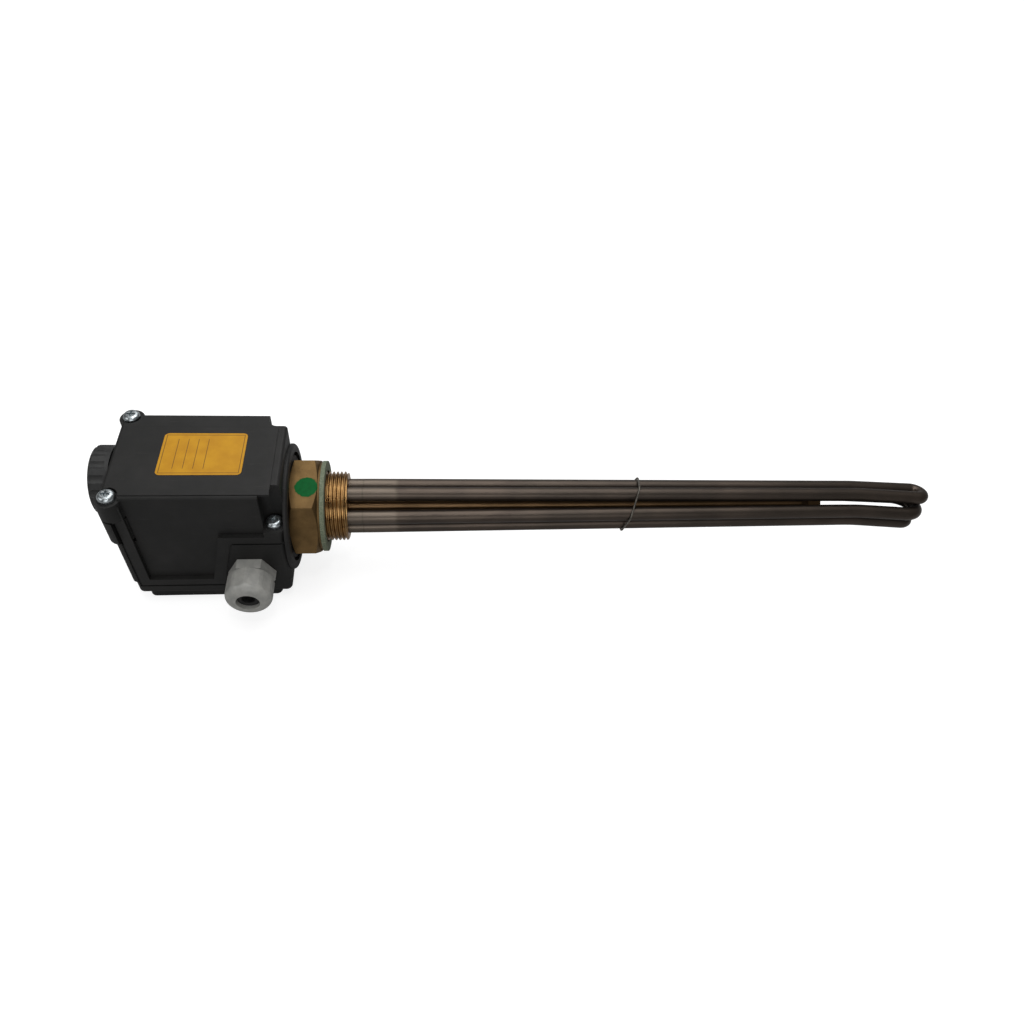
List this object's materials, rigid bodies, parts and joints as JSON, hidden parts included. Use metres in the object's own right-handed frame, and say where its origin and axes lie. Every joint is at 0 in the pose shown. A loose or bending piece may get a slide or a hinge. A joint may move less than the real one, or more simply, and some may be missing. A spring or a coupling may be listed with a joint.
{
  "type": "immersion heating element",
  "caption": "Screw-in immersion heater: black terminal box with a control knob and cable gland, brass hexagon with a pipe thread, and a bundle of hairpin heating tubes.",
  "frame": {"origin": "centre of the brass head's sealing face, on the thread's axis", "axes": "+X along the heater from the box to the tube ends, +Z out of the cover's flat top, -Y out of the cable gland"},
  "size_m": [0.5114, 0.0958, 0.0947],
  "materials": {
    "housing_plastic": "satin moulded, fine grain",
    "knob_plastic": "satin",
    "gland_plastic": "satin, light warm grey",
    "brass": "dull cast hexagon, bright turned thread",
    "tank_gasket_fibre": "matt grey-green",
    "seal_rubber": "matt",
    "gland_seal_rubber": "matt",
    "tube_steel": "annealed, dull brown-grey",
    "pocket_metal": "drawn tube with a bronze tint",
    "wire_steel": "bare wire",
    "zinc_steel": "bright zinc plate",
    "sheet_steel": "zinc-plated sheet",
    "nickel_brass": "plain",
    "copper": "bare capillary and bulbs",
    "ceramic": null,
    "device_plastic": "phenolic moulding",
    "button_plastic": "red button",
    "block_plastic": "pale moulding",
    "lead_insulation": "silicone sleeving"
  },
  "bodies": {
    "heater": {"base": "housing_plastic", "cover": "housing_plastic", "cover_seal": "seal_rubber", "cover_screws": "zinc_steel", "housing_gasket": "seal_rubber", "screw_head": "brass", "tank_gasket": "tank_gasket_fibre", "hairpin_upper": "tube_steel", "hairpin_middle": "tube_steel", "hairpin_lower": "tube_steel", "sensor_pocket": "pocket_metal", "binding_wire": "wire_steel", "mounting_plate": "sheet_steel", "head_screws": "zinc_steel", "end_bushes": "ceramic", "terminal_pins": "zinc_steel", "terminal_nuts": "zinc_steel", "link_bar_line": "nickel_brass", "link_bar_neutral": "nickel_brass", "thermostat_body": "device_plastic", "thermostat_screws": "zinc_steel", "thermostat_tabs": "nickel_brass", "limiter_body": "device_plastic", "thermostat_bulb": "copper", "limiter_bulb": "copper", "thermostat_capillary": "copper", "limiter_capillary": "copper", "terminal_block": "block_plastic", "block_clamp_screws": "zinc_steel", "block_fixing_screws": "zinc_steel", "earth_washer": "nickel_brass", "earth_screw": "zinc_steel", "gland_body": "gland_plastic", "gland_locknut": "gland_plastic", "gland_nut": "gland_plastic", "gland_seal": "gland_seal_rubber", "line_lead": "lead_insulation", "neutral_lead": "lead_insulation", "earth_lead": "lead_insulation", "control_lead": "lead_insulation", "load_lead": "lead_insulation", "limiter_tabs": "nickel_brass", "push_on_sleeves": "nickel_brass", "crimp_sleeves": "nickel_brass"},
    "knob": {"thermostat_knob": "knob_plastic", "thermostat_spindle": "zinc_steel"},
    "reset": {"reset_button": "button_plastic"}
  },
  "joints": [
    {"name": "thermostat_turn", "type": "hinge", "parent": "heater", "child": "knob", "pos_m": [-0.1118, 0, 0.024], "axis": [-1, 0, 0], "range_deg": [0, 270]},
    {"name": "reset_press", "type": "slide", "parent": "heater", "child": "reset", "axis": [0, 0, -1], "range_m": [0, 0.0018], "stiffness_N_per_m": 300, "springref_m": -0.001}
  ]
}
